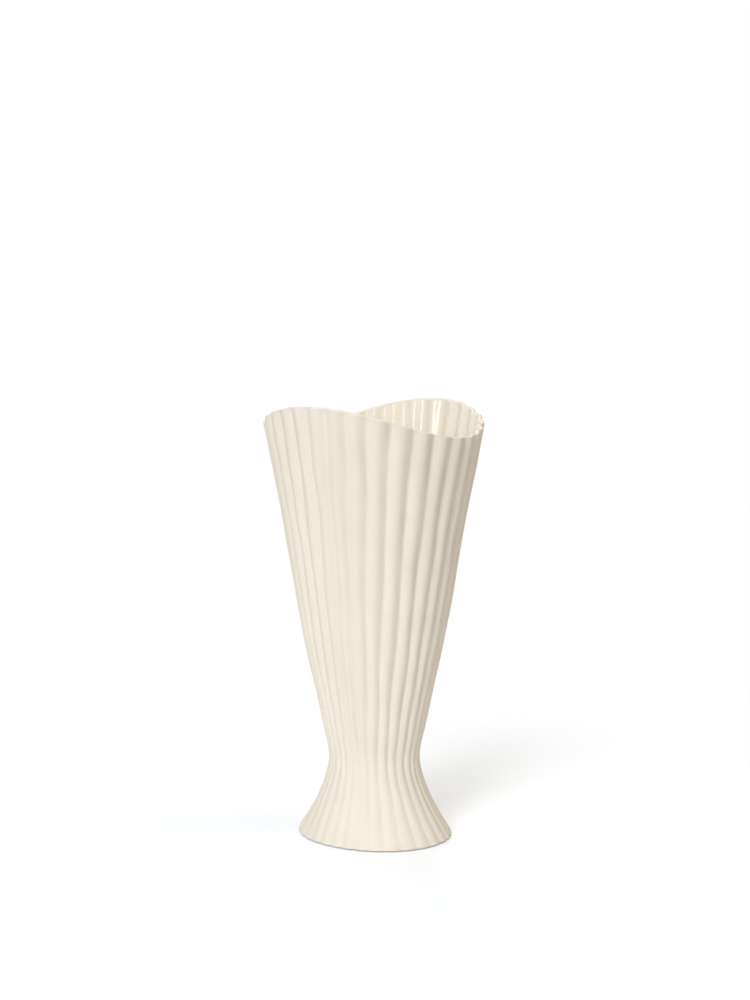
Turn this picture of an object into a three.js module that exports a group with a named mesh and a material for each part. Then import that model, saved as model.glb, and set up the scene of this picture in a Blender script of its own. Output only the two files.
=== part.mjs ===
// Ribbed flower vase: a cast clay body with a wavy rim, a waist and a flared foot, its glassy lining and the
// felt pads under it. Millimetres, +Z up. The origin is on the table under the middle of the foot, and the
// front faces -Y. Azimuths are in degrees from the front, towards +X.
import * as THREE from 'three';

// Outline of the rib crests: a height above the table and the radius there
const TOTAL_HEIGHT = 300;
const LOBE_RADIUS = 78.5;
const CHEST_HEIGHT = 220;
const CHEST_RADIUS = 63.1;
const BELLY_HEIGHT = 140;
const BELLY_RADIUS = 49.3;
const SHOULDER_HEIGHT = 77;
const SHOULDER_RADIUS = 35.8;
const WAIST_HEIGHT = 53;
const WAIST_RADIUS = 31.7;
const ANKLE_HEIGHT = 31;
const ANKLE_RADIUS = 37.3;
const FOOT_RADIUS = 52.2;

// Rim: high lobes at the total height and lows between them
const LOBE_COUNT = 2;
const LOBE_AZIMUTH = -34.5;
const RIM_DROP = 21.2;

// Foot: a little oval, longest across the lobes
const FOOT_OVAL = 3.6;

// Ribs: rounded crests with narrow grooves between them, deepest at the rim and fanned out on the foot
const RIB_COUNT = 32;
const RIB_DEPTH = 3;
const FOOT_RIB_DEPTH = 0.8;
const RIB_AZIMUTH = -0.5;
const RIB_LEAN = 4.4;
const RIB_DRIFT = 1.9;
const DRIFT_WAVES = 3;
const DRIFT_AZIMUTH = -12;
const FOOT_FAN = 5.5;
const FAN_AZIMUTH = 22;
const FAN_MIDDLE = 0.45;
const GROOVE_SHARPNESS = 0.75;
const INSIDE_SHARPNESS = 0.15;
const LIP_RIB_SHARE = 0.6;

// Walls
const WALL = 3;
const LIP_BAND = 0.8;
const GLAZE = 0.4;
const FLOOR = 5;
const FOOT_RING_WIDTH = 14;
const FOOT_RECESS = 3;
const FOOT_CHAMFER = 1.2;

// Pads under the foot ring
const PAD_COUNT = 4;
const PAD_DIAMETER = 8;
const PAD_THICKNESS = 0.8;

// Mesh detail
const RIB_SHARES = [0, 0.14, 0.32, 0.5, 0.68, 0.86];
const RISE_SHARES = [0.1, 0.25, 0.45, 0.7];
const LIP_ANGLES = [180, 135, 90, 45, 0];
const PAD_SIDES = 24;

// Sizes that follow from the ones above
const FOOT_BOTTOM = PAD_THICKNESS;
const FLOOR_TOP = FOOT_BOTTOM + FOOT_RECESS + FLOOR;
const LIP_RADIUS = WALL / 2;
const LIP_HEIGHT = LIP_RADIUS + LIP_BAND;
const RIB_PITCH = 360 / RIB_COUNT;
const FOOT_RING_INNER = FOOT_RADIUS - FOOT_RING_WIDTH;
const FOOT_OVAL_AZIMUTH = LOBE_AZIMUTH + 90;
const PAD_AZIMUTH = FOOT_OVAL_AZIMUTH + 180 / PAD_COUNT;

const { degToRad, lerp, clamp, smoothstep } = THREE.MathUtils;

// Radius of the rib crests at a height: a smooth curve through the outline's stations
const outline = new THREE.CubicInterpolant(
  [FOOT_BOTTOM, ANKLE_HEIGHT, WAIST_HEIGHT, SHOULDER_HEIGHT, BELLY_HEIGHT, CHEST_HEIGHT, TOTAL_HEIGHT],
  [FOOT_RADIUS, ANKLE_RADIUS, WAIST_RADIUS, SHOULDER_RADIUS, BELLY_RADIUS, CHEST_RADIUS, LOBE_RADIUS],
  1,
);
const crestRadius = (z) => outline.evaluate(z)[0];

// Height of the rim's crown at an azimuth
function rimHeight(azimuth) {
  const wave = Math.cos(degToRad(LOBE_COUNT * (azimuth - LOBE_AZIMUTH)));
  return TOTAL_HEIGHT - RIM_DROP * (1 - wave) / 2;
}

// Azimuth at a share of the way across a rib, from the middle of the first one. The spacing is uneven.
function ribTurn(rib, share) {
  const turn = (rib + share - 0.5) * RIB_PITCH;
  return turn - RIB_DRIFT * Math.cos(degToRad(DRIFT_WAVES * (turn - DRIFT_AZIMUTH)));
}

// Azimuth of a point on a rib at a height: ribs lean to one side away from the waist and fan out below it
function ribAzimuth(turn, z) {
  const lean = RIB_LEAN * Math.abs(z - WAIST_HEIGHT) / (TOTAL_HEIGHT - WAIST_HEIGHT);
  const low = clamp((SHOULDER_HEIGHT - z) / (SHOULDER_HEIGHT - ANKLE_HEIGHT), 0, 1);
  const fan = FOOT_FAN * low ** 2 * (Math.cos(degToRad(turn - FAN_AZIMUTH)) - FAN_MIDDLE);
  return RIB_AZIMUTH + turn + lean + fan;
}

// How far the oval spreads the wall: nothing down to the waist, and most at the foot
function ovalSpread(z, azimuth) {
  const low = clamp((WAIST_HEIGHT - z) / (WAIST_HEIGHT - FOOT_BOTTOM), 0, 1);
  return FOOT_OVAL * low ** 2 * Math.cos(degToRad(2 * (azimuth - FOOT_OVAL_AZIMUTH)));
}

// Cross-section of a rib: 0 at the bottom of the groove, 1 on the crest. It softens through the wall.
function ribSection(share, inset) {
  const soft = (1 - Math.cos(2 * Math.PI * share)) / 2;
  const sharp = Math.sin(Math.PI * share);
  return lerp(soft, sharp, lerp(GROOVE_SHARPNESS, INSIDE_SHARPNESS, inset / WALL));
}

// Radius of the ribbed wall at a height, a share of the way across a rib and an inset from the outside
function ribbedRadius(z, share, inset, rim) {
  const crest = crestRadius(z);
  const run = clamp((rim - z) / LIP_HEIGHT, 0, 1);
  const upperDepth = RIB_DEPTH * (crest / LOBE_RADIUS) * lerp(LIP_RIB_SHARE, 1, run);
  const depth = lerp(FOOT_RIB_DEPTH, upperDepth, smoothstep(z, ANKLE_HEIGHT, SHOULDER_HEIGHT));
  return crest - depth * (1 - ribSection(share, inset)) - inset;
}

// Heights of rings: level with the table, part of the way from the shoulder to the rim, or under the rim
const level = (z) => () => z;
const rise = (share) => (rim) => lerp(SHOULDER_HEIGHT, rim, share);
const belowRim = (drop) => (rim) => rim - drop;
const midway = (a, b) => level((a + b) / 2);

// Rings: on the ribbed wall at an inset from its outer surface, or a plain oval of a mean radius
const wallRing = (height, inset) => ({ height, inset });
const oval = (z, radius) => ({ height: level(z), radius });

// Where an azimuth lies at a radius
function polar(radius, azimuth) {
  const angle = degToRad(azimuth);
  return [radius * Math.sin(angle), -radius * Math.cos(angle)];
}

function ringPoint(ring, rib, share) {
  const turn = ribTurn(rib, share);
  const rim = rimHeight(RIB_AZIMUTH + RIB_LEAN + turn);
  const z = ring.height(rim);
  const azimuth = ribAzimuth(turn, z);
  const mean = ring.radius ?? ribbedRadius(z, share, ring.inset, rim);
  return [...polar(mean + ovalSpread(z, azimuth), azimuth), z];
}

// Two triangles between a ring and the next one. Their shared diagonal climbs the same way whether the rings
// run up or down, so the faces of touching walls match.
function wallFace(positions, here, beside, around) {
  const after = here + around;
  const afterBeside = beside + around;
  const falls = positions[3 * after + 2] < positions[3 * here + 2];
  return falls
    ? [here, after, afterBeside, here, afterBeside, beside]
    : [here, after, beside, beside, after, afterBeside];
}

// Closed surface through a row of rings, which starts and ends with a point on the axis
function ribbedSolid(startZ, rings, endZ) {
  const positions = [];
  const triangles = [];
  const around = RIB_COUNT * RIB_SHARES.length;
  for (const ring of rings) {
    for (let rib = 0; rib < RIB_COUNT; rib++) {
      for (const share of RIB_SHARES) {
        positions.push(...ringPoint(ring, rib, share));
      }
    }
  }
  const start = positions.length / 3;
  const end = start + 1;
  positions.push(0, 0, startZ, 0, 0, endZ);
  const lastRing = (rings.length - 1) * around;
  for (let i = 0; i < around; i++) {
    const next = (i + 1) % around;
    triangles.push(start, i, next);
    for (let row = 0; row < lastRing; row += around) {
      triangles.push(...wallFace(positions, row + i, row + next, around));
    }
    triangles.push(end, lastRing + next, lastRing + i);
  }
  const geometry = new THREE.BufferGeometry();
  geometry.setAttribute('position', new THREE.Float32BufferAttribute(positions, 3));
  geometry.setIndex(triangles);
  geometry.computeVertexNormals();
  return geometry;
}

// Ring heights up the wall, from the ankle to the plain band of the lip
const wallHeights = [
  level(ANKLE_HEIGHT),
  midway(ANKLE_HEIGHT, WAIST_HEIGHT),
  level(WAIST_HEIGHT),
  midway(WAIST_HEIGHT, SHOULDER_HEIGHT),
  level(SHOULDER_HEIGHT),
  ...RISE_SHARES.map(rise),
  belowRim(LIP_HEIGHT),
];

// Rings up the inside of the wall at an inset, from a floor height to the band
function insideRings(floorZ, inset) {
  return [level(floorZ), ...wallHeights].map((height) => wallRing(height, inset));
}

// Rings over the rounded lip, from the inside to the outside
function lipRings() {
  return LIP_ANGLES.map((angle) => {
    const turn = degToRad(angle);
    const drop = LIP_RADIUS * (1 - Math.sin(turn));
    return wallRing(belowRim(drop), LIP_RADIUS * (1 - Math.cos(turn)));
  });
}

// Rings down the outside of the wall, to the chamfered edge of the foot
function outsideRings() {
  const chamferTop = FOOT_BOTTOM + FOOT_CHAMFER;
  const heights = [level(chamferTop), midway(chamferTop, ANKLE_HEIGHT), ...wallHeights].reverse();
  return [
    ...heights.map((height) => wallRing(height, 0)),
    wallRing(level(FOOT_BOTTOM), FOOT_CHAMFER),
  ];
}

function clayBody() {
  const recessTop = FOOT_BOTTOM + FOOT_RECESS;
  const rings = [
    ...insideRings(FLOOR_TOP, WALL),
    ...lipRings(),
    ...outsideRings(),
    oval(FOOT_BOTTOM, FOOT_RING_INNER),
    oval(recessTop, FOOT_RING_INNER),
  ];
  return ribbedSolid(FLOOR_TOP, rings, recessTop);
}

// The lining covers the floor and the wall up to the band of the lip
function innerGlaze() {
  const glazeTop = FLOOR_TOP + GLAZE;
  const rings = [
    ...insideRings(glazeTop, WALL + GLAZE),
    ...insideRings(FLOOR_TOP, WALL).reverse(),
  ];
  return ribbedSolid(glazeTop, rings, FLOOR_TOP);
}

function addPiece(group, name, geometry, material) {
  const mesh = new THREE.Mesh(geometry, material);
  mesh.name = name;
  group.add(mesh);
  return mesh;
}

// Pads stuck to the foot ring, midway between its recess and its outer edge
function addPads(group, material) {
  const radius = FOOT_RADIUS - (FOOT_RING_WIDTH + FOOT_CHAMFER + FOOT_RIB_DEPTH) / 2;
  for (let i = 0; i < PAD_COUNT; i++) {
    const geometry = new THREE.CylinderGeometry(PAD_DIAMETER / 2, PAD_DIAMETER / 2, PAD_THICKNESS, PAD_SIDES);
    const pad = addPiece(group, `felt_pad_${i + 1}`, geometry, material);
    pad.rotation.x = Math.PI / 2;
    pad.position.set(...polar(radius, PAD_AZIMUTH + 360 * i / PAD_COUNT), PAD_THICKNESS / 2);
  }
}

const clay = new THREE.MeshStandardMaterial({ color: 0xefe7d8, roughness: 0.72, metalness: 0 });
const glaze = new THREE.MeshStandardMaterial({ color: 0xf1e9da, roughness: 0.12, metalness: 0 });
const felt = new THREE.MeshStandardMaterial({ color: 0xd9d4c8, roughness: 0.95, metalness: 0 });

const vase = new THREE.Group();
vase.name = 'ribbed_vase';
addPiece(vase, 'clay_body', clayBody(), clay);
addPiece(vase, 'inner_glaze', innerGlaze(), glaze);
addPads(vase, felt);

export default vase;
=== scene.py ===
"""Looks of the ribbed flower vase: matt clay outside, a glossy lining inside and felt pads underneath."""
import math

import bpy
import numpy as np
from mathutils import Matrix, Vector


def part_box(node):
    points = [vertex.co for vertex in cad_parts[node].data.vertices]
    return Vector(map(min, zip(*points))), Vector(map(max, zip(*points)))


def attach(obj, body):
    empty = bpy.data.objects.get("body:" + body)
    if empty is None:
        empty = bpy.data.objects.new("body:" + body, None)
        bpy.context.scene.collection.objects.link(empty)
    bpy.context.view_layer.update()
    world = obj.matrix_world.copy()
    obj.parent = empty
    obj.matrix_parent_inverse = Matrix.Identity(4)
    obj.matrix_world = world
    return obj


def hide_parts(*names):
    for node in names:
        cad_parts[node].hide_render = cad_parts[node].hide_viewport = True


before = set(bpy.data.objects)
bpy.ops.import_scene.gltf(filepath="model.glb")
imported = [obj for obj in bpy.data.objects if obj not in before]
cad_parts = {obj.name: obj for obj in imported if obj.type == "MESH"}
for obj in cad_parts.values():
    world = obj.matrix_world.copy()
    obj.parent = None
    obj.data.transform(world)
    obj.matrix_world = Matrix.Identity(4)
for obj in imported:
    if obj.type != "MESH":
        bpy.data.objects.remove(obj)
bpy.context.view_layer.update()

MM = 0.001

# Outline of the rib crests, as in the solids: a height above the table and the radius there
TOTAL_HEIGHT = 300 * MM
LOBE_RADIUS = 78.5 * MM
CHEST_HEIGHT = 220 * MM
CHEST_RADIUS = 63.1 * MM
BELLY_HEIGHT = 140 * MM
BELLY_RADIUS = 49.3 * MM
SHOULDER_HEIGHT = 77 * MM
SHOULDER_RADIUS = 35.8 * MM
WAIST_HEIGHT = 53 * MM
WAIST_RADIUS = 31.7 * MM
ANKLE_HEIGHT = 31 * MM
ANKLE_RADIUS = 37.3 * MM
FOOT_BOTTOM = 0.8 * MM
FOOT_RADIUS = 52.2 * MM
STATIONS = np.array([
    (FOOT_BOTTOM, FOOT_RADIUS),
    (ANKLE_HEIGHT, ANKLE_RADIUS),
    (WAIST_HEIGHT, WAIST_RADIUS),
    (SHOULDER_HEIGHT, SHOULDER_RADIUS),
    (BELLY_HEIGHT, BELLY_RADIUS),
    (CHEST_HEIGHT, CHEST_RADIUS),
    (TOTAL_HEIGHT, LOBE_RADIUS),
])

# Rim: high lobes at the total height and lows between them
LOBE_COUNT = 2
LOBE_AZIMUTH = -34.5
RIM_DROP = 21.2 * MM

# Foot: a little oval, longest across the lobes
FOOT_OVAL = 3.6 * MM
FOOT_OVAL_AZIMUTH = LOBE_AZIMUTH + 90

# Ribs: rounded crests with narrow grooves between them, deepest at the rim and fanned out on the foot
RIB_COUNT = 32
RIB_DEPTH = 3 * MM
FOOT_RIB_DEPTH = 0.8 * MM
RIB_AZIMUTH = -0.5
RIB_LEAN = 4.4
RIB_DRIFT = 1.9
DRIFT_WAVES = 3
DRIFT_AZIMUTH = -12
FOOT_FAN = 5.5
FAN_AZIMUTH = 22
FAN_MIDDLE = 0.45
GROOVE_SHARPNESS = 0.75
INSIDE_SHARPNESS = 0.15
GROOVE_ROUNDING = 0.1
LIP_RIB_SHARE = 0.6
RIB_PITCH = 360 / RIB_COUNT

# Walls
WALL = 3 * MM
LIP_BAND = 0.8 * MM
LIP_RADIUS = WALL / 2
LIP_HEIGHT = LIP_RADIUS + LIP_BAND
FLOOR = 5 * MM
FLOOR_FILLET = 4 * MM
FOOT_RING_WIDTH = 14 * MM
FOOT_RING_INNER = FOOT_RADIUS - FOOT_RING_WIDTH
FOOT_RECESS = 3 * MM
FOOT_EDGE = 1.2 * MM
RECESS_EDGE = 0.6 * MM
RECESS_TOP = FOOT_BOTTOM + FOOT_RECESS
FLOOR_TOP = RECESS_TOP + FLOOR

# Lining: it thins out over its last stretch under the lip
GLAZE = 0.4 * MM
GLAZE_EDGE = 0.06 * MM
GLAZE_EDGE_RISE = 0.5 * MM
GLAZE_TAPER = 9 * MM
GLAZE_SHARP_ANGLE = 60

# Pads: their outline from the top to the underside, in shares of the radius and of half the thickness
PAD_COUNT = 4
PAD_OUTLINE = [(0.5, 1), (0.95, 1), (0.985, 0.7), (1, 0), (0.99, -0.6), (0.93, -1), (0.6, -1)]

# Mesh detail: points to a rib, rows of rings below and above the shoulder, and steps round the edges;
# ROUND_STEP is in degrees
STEPS_PER_RIB = 14
AROUND = RIB_COUNT * STEPS_PER_RIB
INSIDE_ROWS = (16, 26)
LINING_ROWS = (22, 46)
OUTSIDE_ROWS = (28, 56)
ROUND_STEP = 15
FOOT_EDGE_STEPS = 4
FLOOR_SHARES = (0.25, 0.6)
FACE_RING_OFFSET = 5 * MM
CORNER_SHARES = [(1, 0), (1 / 3, 1 / 3), (0, 1)]
PAD_SIDES = 48

# Hand-made unevenness, which fades to nothing at the foot's flat face; the wave counts are for a full turn
WAVE_SEED = 7
WAVE_TERMS = 7
WAVE_LENGTHS = (40 * MM, 160 * MM)
SWAY_COUNTS = (4, 17)
SWELL_COUNTS = (2, 7)
DEPTH_COUNTS = (5, 20)
SWAY_DEGREES = 0.22
SWELL = 0.12 * MM
DEPTH_SHARE = 0.1
FADE_HEIGHT = 10 * MM

# Colours: a darker and a lighter tone for each mottled surface
TONE_RANGE = (0.3, 0.7)
CLAY_TONES = [(0.800, 0.734, 0.630), (0.830, 0.768, 0.670)]
GLAZE_TONES = [(0.845, 0.780, 0.655), (0.880, 0.820, 0.700)]
FELT_TONES = [(0.48, 0.45, 0.39), (0.66, 0.62, 0.55)]
FLOOR_TONES = [(0.93, 0.93, 0.93), (0.94, 0.94, 0.94)]

# Stage, in metres
FLOOR_HALF = 0.75
FLOOR_FADE = (0.1, 0.45)
FLOOR_LIFT = 0.15
FLOOR_LIFT_COLOUR = (0.64, 0.8, 1)
LIGHT_AIM = 0.16
WHITE = (1, 1, 1)
COOL = (0.875, 0.926, 1)
WARM = (1, 0.88, 0.7)
WORLD_STRENGTH = 0.34
WORLD_COLOUR = (1, 0.93, 0.82)

# Camera: place in metres, pitch down in degrees, lens and sensor in millimetres
CAMERA_PLACE = (0.00037, -1.2281, 0.3576)
CAMERA_PITCH = 5.8
CAMERA_LENS = 64.8
CAMERA_SENSOR = 36


def smooth(edge0, edge1, x):
    """0 before the first edge and 1 after the second, with a soft run between them."""
    t = np.clip((x - edge0) / (edge1 - edge0), 0, 1)
    return t * t * (3 - 2 * t)


def crest_radius(z):
    """Radius of the rib crests at a height: a smooth curve through the outline's stations."""
    heights, radii = STATIONS.T
    slopes = np.diff(radii) / np.diff(heights)
    tangents = np.concatenate([slopes[:1], (slopes[1:] + slopes[:-1]) / 2, slopes[-1:]])
    i = np.clip(np.searchsorted(heights, z) - 1, 0, len(slopes) - 1)
    step = heights[i + 1] - heights[i]
    t = np.clip((z - heights[i]) / step, 0, 1)
    return (
        (1 + 2 * t) * (1 - t) ** 2 * radii[i]
        + t * (1 - t) ** 2 * step * tangents[i]
        + t * t * (3 - 2 * t) * radii[i + 1]
        + t * t * (t - 1) * step * tangents[i + 1]
    )


def rib_drift(turn):
    """The ribs are spaced by hand, a little unevenly."""
    return -RIB_DRIFT * np.cos(np.radians(DRIFT_WAVES * (turn - DRIFT_AZIMUTH)))


def rib_lean(z, turn):
    """The ribs lean a little to one side as they leave the waist, and fan out towards the foot."""
    lean = RIB_LEAN * np.abs(z - WAIST_HEIGHT) / (TOTAL_HEIGHT - WAIST_HEIGHT)
    low = np.clip((SHOULDER_HEIGHT - z) / (SHOULDER_HEIGHT - ANKLE_HEIGHT), 0, 1)
    return lean + FOOT_FAN * low ** 2 * (np.cos(np.radians(turn - FAN_AZIMUTH)) - FAN_MIDDLE)


def rim_height(azimuth):
    wave = np.cos(np.radians(LOBE_COUNT * (azimuth - LOBE_AZIMUTH)))
    return TOTAL_HEIGHT - RIM_DROP * (1 - wave) / 2


def oval_spread(z, azimuth):
    """The section is round down to the waist and turns oval towards the foot."""
    share = np.clip((WAIST_HEIGHT - z) / (WAIST_HEIGHT - FOOT_BOTTOM), 0, 1)
    return FOOT_OVAL * share ** 2 * np.cos(np.radians(2 * (azimuth - FOOT_OVAL_AZIMUTH)))


def rib_section(share, inset):
    """0 at the bottom of a groove and 1 on a crest. The groove softens through the wall."""
    sharpness = GROOVE_SHARPNESS + (INSIDE_SHARPNESS - GROOVE_SHARPNESS) * inset / WALL
    soft = (1 - np.cos(2 * np.pi * share)) / 2
    rounded = np.sqrt(np.sin(np.pi * share) ** 2 + GROOVE_ROUNDING ** 2)
    sharp = (rounded - GROOVE_ROUNDING) / (math.sqrt(1 + GROOVE_ROUNDING ** 2) - GROOVE_ROUNDING)
    return soft + (sharp - soft) * sharpness


def wave_field(seed, counts):
    """Smooth noise round the vase and up it, of about unit height, as a sum of a few waves."""
    random = np.random.RandomState(seed)
    around_counts = random.randint(*counts, WAVE_TERMS)
    lengths = random.uniform(*WAVE_LENGTHS, WAVE_TERMS)
    phases = random.uniform(0, 2 * np.pi, WAVE_TERMS)

    def field(turn, z):
        angle = np.radians(turn)
        terms = zip(around_counts, lengths, phases)
        waves = [np.sin(count * angle + 2 * np.pi * z / length + phase) for count, length, phase in terms]
        return sum(waves) / math.sqrt(WAVE_TERMS / 2)

    return field


sway = wave_field(WAVE_SEED, SWAY_COUNTS)
swell = wave_field(WAVE_SEED + 1, SWELL_COUNTS)
uneven_depth = wave_field(WAVE_SEED + 2, DEPTH_COUNTS)

# One entry for each point round a ring: share of its rib, turn from the front, and the rim's height there
SHARES = (np.arange(AROUND) % STEPS_PER_RIB) / STEPS_PER_RIB
EVEN_TURNS = (np.arange(AROUND) / STEPS_PER_RIB - 0.5) * RIB_PITCH
TURNS = EVEN_TURNS + rib_drift(EVEN_TURNS)
RIMS = rim_height(RIB_AZIMUTH + RIB_LEAN + TURNS)


def around(azimuth, radius, z):
    """Points round the axis. The azimuth is in degrees from the front, -Y, towards +X."""
    angle = np.radians(azimuth)
    return np.column_stack([radius * np.sin(angle), -radius * np.cos(angle), np.broadcast_to(z, AROUND)])


def wall_ring(z, inset):
    """Ring on the ribbed wall, inset from its outer face, at one height or at a height for each point."""
    z = np.broadcast_to(z, AROUND).astype(float)
    crest = crest_radius(z)
    lip_share = LIP_RIB_SHARE + (1 - LIP_RIB_SHARE) * smooth(0, LIP_HEIGHT, RIMS - z)
    depth = RIB_DEPTH * (crest / LOBE_RADIUS) * lip_share
    depth = FOOT_RIB_DEPTH + (depth - FOOT_RIB_DEPTH) * smooth(ANKLE_HEIGHT, SHOULDER_HEIGHT, z)
    depth = depth * (1 + DEPTH_SHARE * uneven_depth(TURNS, z))
    free = smooth(FOOT_BOTTOM, FOOT_BOTTOM + FADE_HEIGHT, z)
    swayed = SWAY_DEGREES * free * sway(TURNS, z) * np.sqrt(LOBE_RADIUS / crest)
    azimuth = RIB_AZIMUTH + TURNS + rib_lean(z, TURNS) + swayed
    groove = depth * (1 - rib_section(SHARES, inset))
    swollen = free * SWELL * (swell(TURNS, z) - 1)
    return around(azimuth, crest + oval_spread(z, azimuth) - groove - inset + swollen, z)


def oval_ring(z, radius):
    """Smooth ring on the underside."""
    azimuth = RIB_AZIMUTH + TURNS
    return around(azimuth, radius + oval_spread(z, azimuth), z)


def shrink(ring, scale, z):
    """A copy of a ring drawn in towards the axis, at another height."""
    return np.column_stack([ring[:, :2] * scale, np.full(AROUND, z)])


def wall_heights(bottom, level_count, rise_count):
    """Ring heights up the wall: level to the shoulder, then bending more and more to the rim's wave."""
    levels = list(np.linspace(bottom, SHOULDER_HEIGHT, level_count))
    rises = np.linspace(0, 1, rise_count + 1)[1:]
    top = RIMS - LIP_HEIGHT
    return levels + [SHOULDER_HEIGHT + (top - SHOULDER_HEIGHT) * rise for rise in rises]


def floor_rings(floor_z, inset):
    """The floor's flat and the rounded corner up to the wall."""
    foot = wall_ring(floor_z + FLOOR_FILLET, inset)
    radius = np.hypot(foot[:, 0], foot[:, 1]).mean()
    rings = [shrink(foot, share, floor_z) for share in FLOOR_SHARES]
    for degrees in range(0, 90, ROUND_STEP):
        angle = math.radians(degrees)
        drawn_in = FLOOR_FILLET * (1 - math.sin(angle))
        z = floor_z + FLOOR_FILLET * (1 - math.cos(angle))
        rings.append(shrink(foot, 1 - drawn_in / radius, z))
    return rings


def inside_rings():
    """From the middle of the clay's floor up the inside of its wall."""
    heights = wall_heights(FLOOR_TOP + FLOOR_FILLET, *INSIDE_ROWS)
    return floor_rings(FLOOR_TOP, WALL) + [wall_ring(z, WALL) for z in heights]


def lip_rings():
    """Over the rounded lip, from the inside to the outside."""
    rings = []
    for degrees in range(180, -1, -ROUND_STEP):
        angle = math.radians(degrees)
        drop = LIP_RADIUS * (1 - math.sin(angle))
        rings.append(wall_ring(RIMS - drop, LIP_RADIUS * (1 - math.cos(angle))))
    return rings


def outside_rings():
    """Down the outside of the wall and round the edge of the foot."""
    heights = wall_heights(FOOT_BOTTOM + FOOT_EDGE, *OUTSIDE_ROWS)
    rings = [wall_ring(z, 0) for z in reversed(heights)]
    for angle in np.linspace(0, math.pi / 2, FOOT_EDGE_STEPS + 1)[1:]:
        z = FOOT_BOTTOM + FOOT_EDGE * (1 - math.sin(angle))
        rings.append(wall_ring(z, FOOT_EDGE * (1 - math.cos(angle))))
    return rings


def underside_rings():
    """The foot ring's flat face and the shallow recess inside it, with rounded corners."""
    rings = [oval_ring(FOOT_BOTTOM, FOOT_RING_INNER + FACE_RING_OFFSET)]
    for out, up in CORNER_SHARES:
        rings.append(oval_ring(FOOT_BOTTOM + up * RECESS_EDGE, FOOT_RING_INNER + out * RECESS_EDGE))
    for inwards, down in reversed(CORNER_SHARES):
        rings.append(oval_ring(RECESS_TOP - down * RECESS_EDGE, FOOT_RING_INNER - inwards * RECESS_EDGE))
    rings.append(oval_ring(RECESS_TOP, FOOT_RING_INNER / 2))
    return rings


def lining_rings(floor_z):
    """The lining's glossy face, from the middle of its floor to its thin edge under the lip."""
    rings = floor_rings(floor_z, WALL + GLAZE)
    for z in wall_heights(floor_z + FLOOR_FILLET, *LINING_ROWS):
        full = smooth(0, GLAZE_TAPER, RIMS - LIP_HEIGHT - z)
        rings.append(wall_ring(z, WALL + GLAZE_EDGE + (GLAZE - GLAZE_EDGE) * full))
    rings.append(wall_ring(RIMS - LIP_HEIGHT + GLAZE_EDGE_RISE, WALL + GLAZE_EDGE))
    return rings


def lathe_mesh(name, start_z, rings, end_z):
    """Closed mesh through a row of rings, which starts and ends with a point on the axis."""
    count = len(rings[0])
    points = np.concatenate([*rings, [(0, 0, start_z), (0, 0, end_z)]])
    last = (len(rings) - 1) * count
    start = last + count
    end = start + 1
    faces = []
    for i in range(count):
        beside = (i + 1) % count
        faces.append((start, i, beside))
        faces.append((end, last + beside, last + i))
        for row in range(0, last, count):
            faces.append((row + i, row + count + i, row + count + beside, row + beside))
    mesh = bpy.data.meshes.new(name)
    mesh.from_pydata(points.tolist(), [], faces)
    mesh.polygons.foreach_set("use_smooth", [True] * len(mesh.polygons))
    mesh.update()
    piece = bpy.data.objects.new(name, mesh)
    bpy.context.scene.collection.objects.link(piece)
    return piece


def make_body():
    rings = [*inside_rings(), *lip_rings(), *outside_rings(), *underside_rings()]
    body = lathe_mesh("vase_body", FLOOR_TOP, rings, RECESS_TOP)
    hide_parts("clay_body")
    return body


def make_lining():
    """The lining closes against the inside of the clay."""
    floor_z = FLOOR_TOP + GLAZE
    rings = [*lining_rings(floor_z), *reversed(inside_rings())]
    lining = lathe_mesh("vase_lining", floor_z, rings, FLOOR_TOP)
    lining.data.set_sharp_from_angle(angle=math.radians(GLAZE_SHARP_ANGLE))
    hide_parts("inner_glaze")
    return lining


def make_pad(node):
    """A felt disc with a soft edge, where the solid pad is."""
    low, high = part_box(node)
    radius = (high.x - low.x) / 2
    half = (high.z - low.z) / 2
    angle = np.arange(PAD_SIDES) * 2 * np.pi / PAD_SIDES
    circle = radius * np.column_stack([np.cos(angle), np.sin(angle)])
    rings = [np.column_stack([circle * out, np.full(PAD_SIDES, half * up)]) for out, up in PAD_OUTLINE]
    pad = lathe_mesh(node + "_disc", half, rings, -half)
    pad.location = (low + high) / 2
    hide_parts(node)
    return pad


def new_material(name):
    material = bpy.data.materials.new(name)
    material.use_nodes = True
    nodes = material.node_tree.nodes
    return material, nodes, material.node_tree.links, nodes["Principled BSDF"]


def noise(nodes, links, coords, scale, detail, roughness=0.5):
    node = nodes.new("ShaderNodeTexNoise")
    node.inputs["Scale"].default_value = scale
    node.inputs["Detail"].default_value = detail
    node.inputs["Roughness"].default_value = roughness
    links.new(coords.outputs["Object"], node.inputs["Vector"])
    return node.outputs["Fac"]


def ramp(nodes, links, factor, tones):
    """Colour between two tones."""
    node = nodes.new("ShaderNodeValToRGB")
    for element, position, tone in zip(node.color_ramp.elements, TONE_RANGE, tones):
        element.position = position
        element.color = (*tone, 1)
    links.new(factor, node.inputs["Fac"])
    return node.outputs["Color"]


def span(nodes, links, factor, low, high):
    """A factor from 0 to 1 spread over a range of values."""
    node = nodes.new("ShaderNodeMapRange")
    node.inputs["To Min"].default_value = low
    node.inputs["To Max"].default_value = high
    links.new(factor, node.inputs["Value"])
    return node.outputs["Result"]


def bump(nodes, links, height, distance, strength, below=None):
    """Relief from a height, laid over another relief if there is one."""
    node = nodes.new("ShaderNodeBump")
    node.inputs["Distance"].default_value = distance
    node.inputs["Strength"].default_value = strength
    links.new(height, node.inputs["Height"])
    if below is not None:
        links.new(below, node.inputs["Normal"])
    return node.outputs["Normal"]


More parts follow.
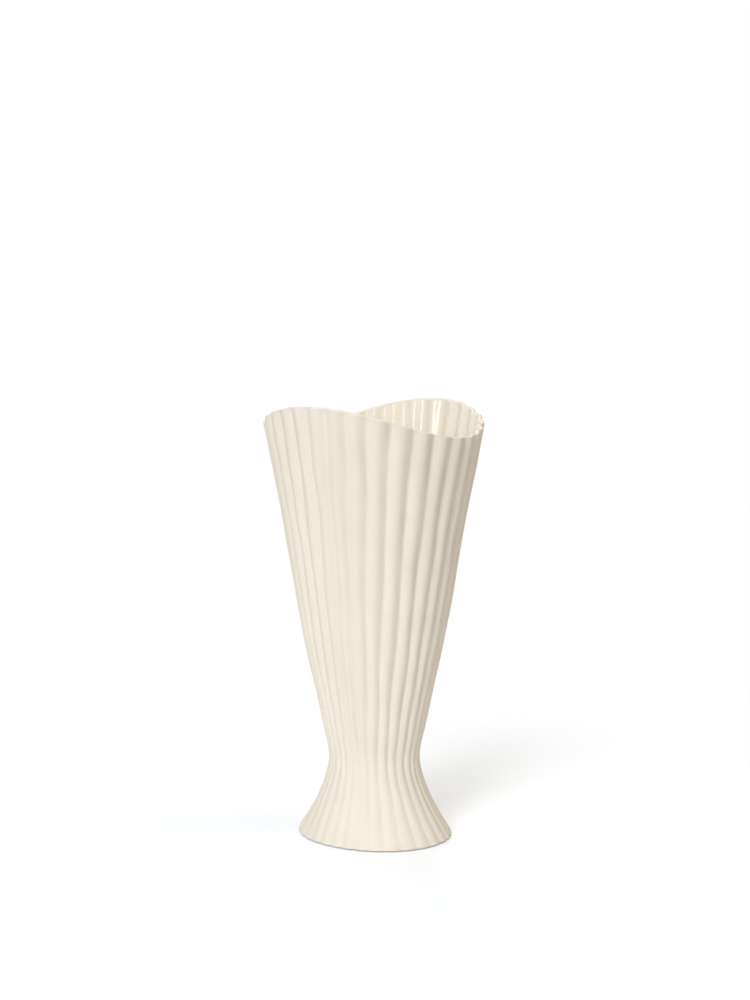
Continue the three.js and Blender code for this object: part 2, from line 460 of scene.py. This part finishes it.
def clay_material():
    """Cream stained clay, matt, with faint mottling and a fine grain."""
    material, nodes, links, shader = new_material("cream_clay")
    coords = nodes.new("ShaderNodeTexCoord")
    mottle = noise(nodes, links, coords, scale=38, detail=4)
    links.new(ramp(nodes, links, mottle, CLAY_TONES), shader.inputs["Base Color"])
    grain = noise(nodes, links, coords, scale=900, detail=3, roughness=0.6)
    links.new(span(nodes, links, grain, low=0.58, high=0.72), shader.inputs["Roughness"])
    fine_relief = bump(nodes, links, grain, distance=0.04 * MM, strength=0.5)
    relief = bump(nodes, links, mottle, distance=0.2 * MM, strength=0.25, below=fine_relief)
    links.new(relief, shader.inputs["Normal"])
    shader.inputs["Specular IOR Level"].default_value = 0.35
    return material


def glaze_material():
    """Clear gloss glaze over the cream clay."""
    material, nodes, links, shader = new_material("gloss_glaze")
    coords = nodes.new("ShaderNodeTexCoord")
    pooling = noise(nodes, links, coords, scale=30, detail=3)
    links.new(ramp(nodes, links, pooling, GLAZE_TONES), shader.inputs["Base Color"])
    peel = noise(nodes, links, coords, scale=220, detail=2)
    links.new(span(nodes, links, peel, low=0.05, high=0.1), shader.inputs["Roughness"])
    links.new(bump(nodes, links, peel, distance=0.06 * MM, strength=0.4), shader.inputs["Normal"])
    shader.inputs["Specular IOR Level"].default_value = 0.3
    return material


def felt_material():
    """Pressed felt: short tangled fibres."""
    material, nodes, links, shader = new_material("pressed_felt")
    coords = nodes.new("ShaderNodeTexCoord")
    fibres = noise(nodes, links, coords, scale=2200, detail=6, roughness=0.7)
    links.new(ramp(nodes, links, fibres, FELT_TONES), shader.inputs["Base Color"])
    shader.inputs["Roughness"].default_value = 0.95
    shader.inputs["Sheen Weight"].default_value = 0.3
    links.new(bump(nodes, links, fibres, distance=0.1 * MM, strength=0.8), shader.inputs["Normal"])
    return material


def floor_material():
    """White table top. Seen directly it is a little lighter, and fades into the backdrop."""
    material, nodes, links, shader = new_material("studio_white")
    coords = nodes.new("ShaderNodeTexCoord")
    tone = noise(nodes, links, coords, scale=0.6, detail=2)
    links.new(ramp(nodes, links, tone, FLOOR_TONES), shader.inputs["Base Color"])
    shader.inputs["Roughness"].default_value = 0.9
    shader.inputs["Specular IOR Level"].default_value = 0.1
    seen = nodes.new("ShaderNodeLightPath").outputs["Is Camera Ray"]
    shader.inputs["Emission Color"].default_value = (*FLOOR_LIFT_COLOUR, 1)
    links.new(span(nodes, links, seen, low=0, high=FLOOR_LIFT), shader.inputs["Emission Strength"])
    reach = nodes.new("ShaderNodeVectorMath")
    reach.operation = "LENGTH"
    links.new(coords.outputs["Object"], reach.inputs[0])
    fade = nodes.new("ShaderNodeMapRange")
    fade.interpolation_type = "SMOOTHSTEP"
    fade.inputs["From Min"].default_value, fade.inputs["From Max"].default_value = FLOOR_FADE
    fade.inputs["To Min"].default_value = 1
    links.new(span(nodes, links, seen, low=1, high=0), fade.inputs["To Max"])
    links.new(reach.outputs["Value"], fade.inputs["Value"])
    links.new(fade.outputs["Result"], shader.inputs["Alpha"])
    return material


def make_floor():
    half = FLOOR_HALF
    mesh = bpy.data.meshes.new("floor")
    corners = [(-half, -half, 0), (half, -half, 0), (half, half, 0), (-half, half, 0)]
    mesh.from_pydata(corners, [], [(0, 1, 2, 3)])
    mesh.materials.append(floor_material())
    floor = bpy.data.objects.new("floor", mesh)
    bpy.context.scene.collection.objects.link(floor)


def softbox(name, azimuth, elevation, distance, size, power, colour):
    """A soft light aimed at the vase, placed by its azimuth from the front and its elevation."""
    data = bpy.data.lights.new(name, "AREA")
    data.shape = "RECTANGLE"
    data.size, data.size_y = size
    data.energy = power
    data.color = colour
    lamp = bpy.data.objects.new(name, data)
    turn = math.radians(azimuth)
    rise = math.radians(elevation)
    level = distance * math.cos(rise)
    height = distance * math.sin(rise) + LIGHT_AIM
    lamp.location = (level * math.sin(turn), -level * math.cos(turn), height)
    lamp.rotation_euler = (math.pi / 2 - rise, 0, turn)
    bpy.context.scene.collection.objects.link(lamp)


def make_lights():
    softbox("key_softbox", azimuth=-23, elevation=28, distance=3, size=(1, 2.1), power=60, colour=COOL)
    softbox("top_softbox", azimuth=10, elevation=84, distance=2.6, size=(1.6, 1.6), power=15, colour=COOL)
    softbox("fill_softbox", azimuth=80, elevation=60, distance=3, size=(1.6, 1.6), power=14, colour=WARM)
    softbox("back_softbox", azimuth=195, elevation=26, distance=3, size=(1.6, 1.6), power=32, colour=WHITE)


def make_world():
    """White backdrop, with a weaker even light from all round."""
    world = bpy.data.worlds.new("studio")
    world.use_nodes = True
    nodes, links = world.node_tree.nodes, world.node_tree.links
    light = nodes["Background"]
    light.inputs["Color"].default_value = (*WORLD_COLOUR, 1)
    light.inputs["Strength"].default_value = WORLD_STRENGTH
    backdrop = nodes.new("ShaderNodeBackground")
    backdrop.inputs["Color"].default_value = (*WHITE, 1)
    backdrop.inputs["Strength"].default_value = 1
    path = nodes.new("ShaderNodeLightPath")
    mix = nodes.new("ShaderNodeMixShader")
    links.new(path.outputs["Is Camera Ray"], mix.inputs["Fac"])
    links.new(light.outputs["Background"], mix.inputs[1])
    links.new(backdrop.outputs["Background"], mix.inputs[2])
    links.new(mix.outputs["Shader"], nodes["World Output"].inputs["Surface"])
    bpy.context.scene.world = world


def make_camera():
    data = bpy.data.cameras.new("photo_view")
    data.sensor_width = CAMERA_SENSOR
    data.lens = CAMERA_LENS
    camera = bpy.data.objects.new("photo_view", data)
    camera.location = CAMERA_PLACE
    camera.rotation_euler = (math.radians(90 - CAMERA_PITCH), 0, 0)
    bpy.context.scene.collection.objects.link(camera)
    bpy.context.scene.camera = camera


def dress(piece, material):
    piece.data.materials.append(material)
    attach(piece, "root")


make_camera()
make_world()
make_lights()
make_floor()
bpy.context.scene.view_settings.view_transform = "Standard"
dress(make_body(), clay_material())
dress(make_lining(), glaze_material())
felt = felt_material()
for number in range(1, PAD_COUNT + 1):
    dress(make_pad(f"felt_pad_{number}"), felt)
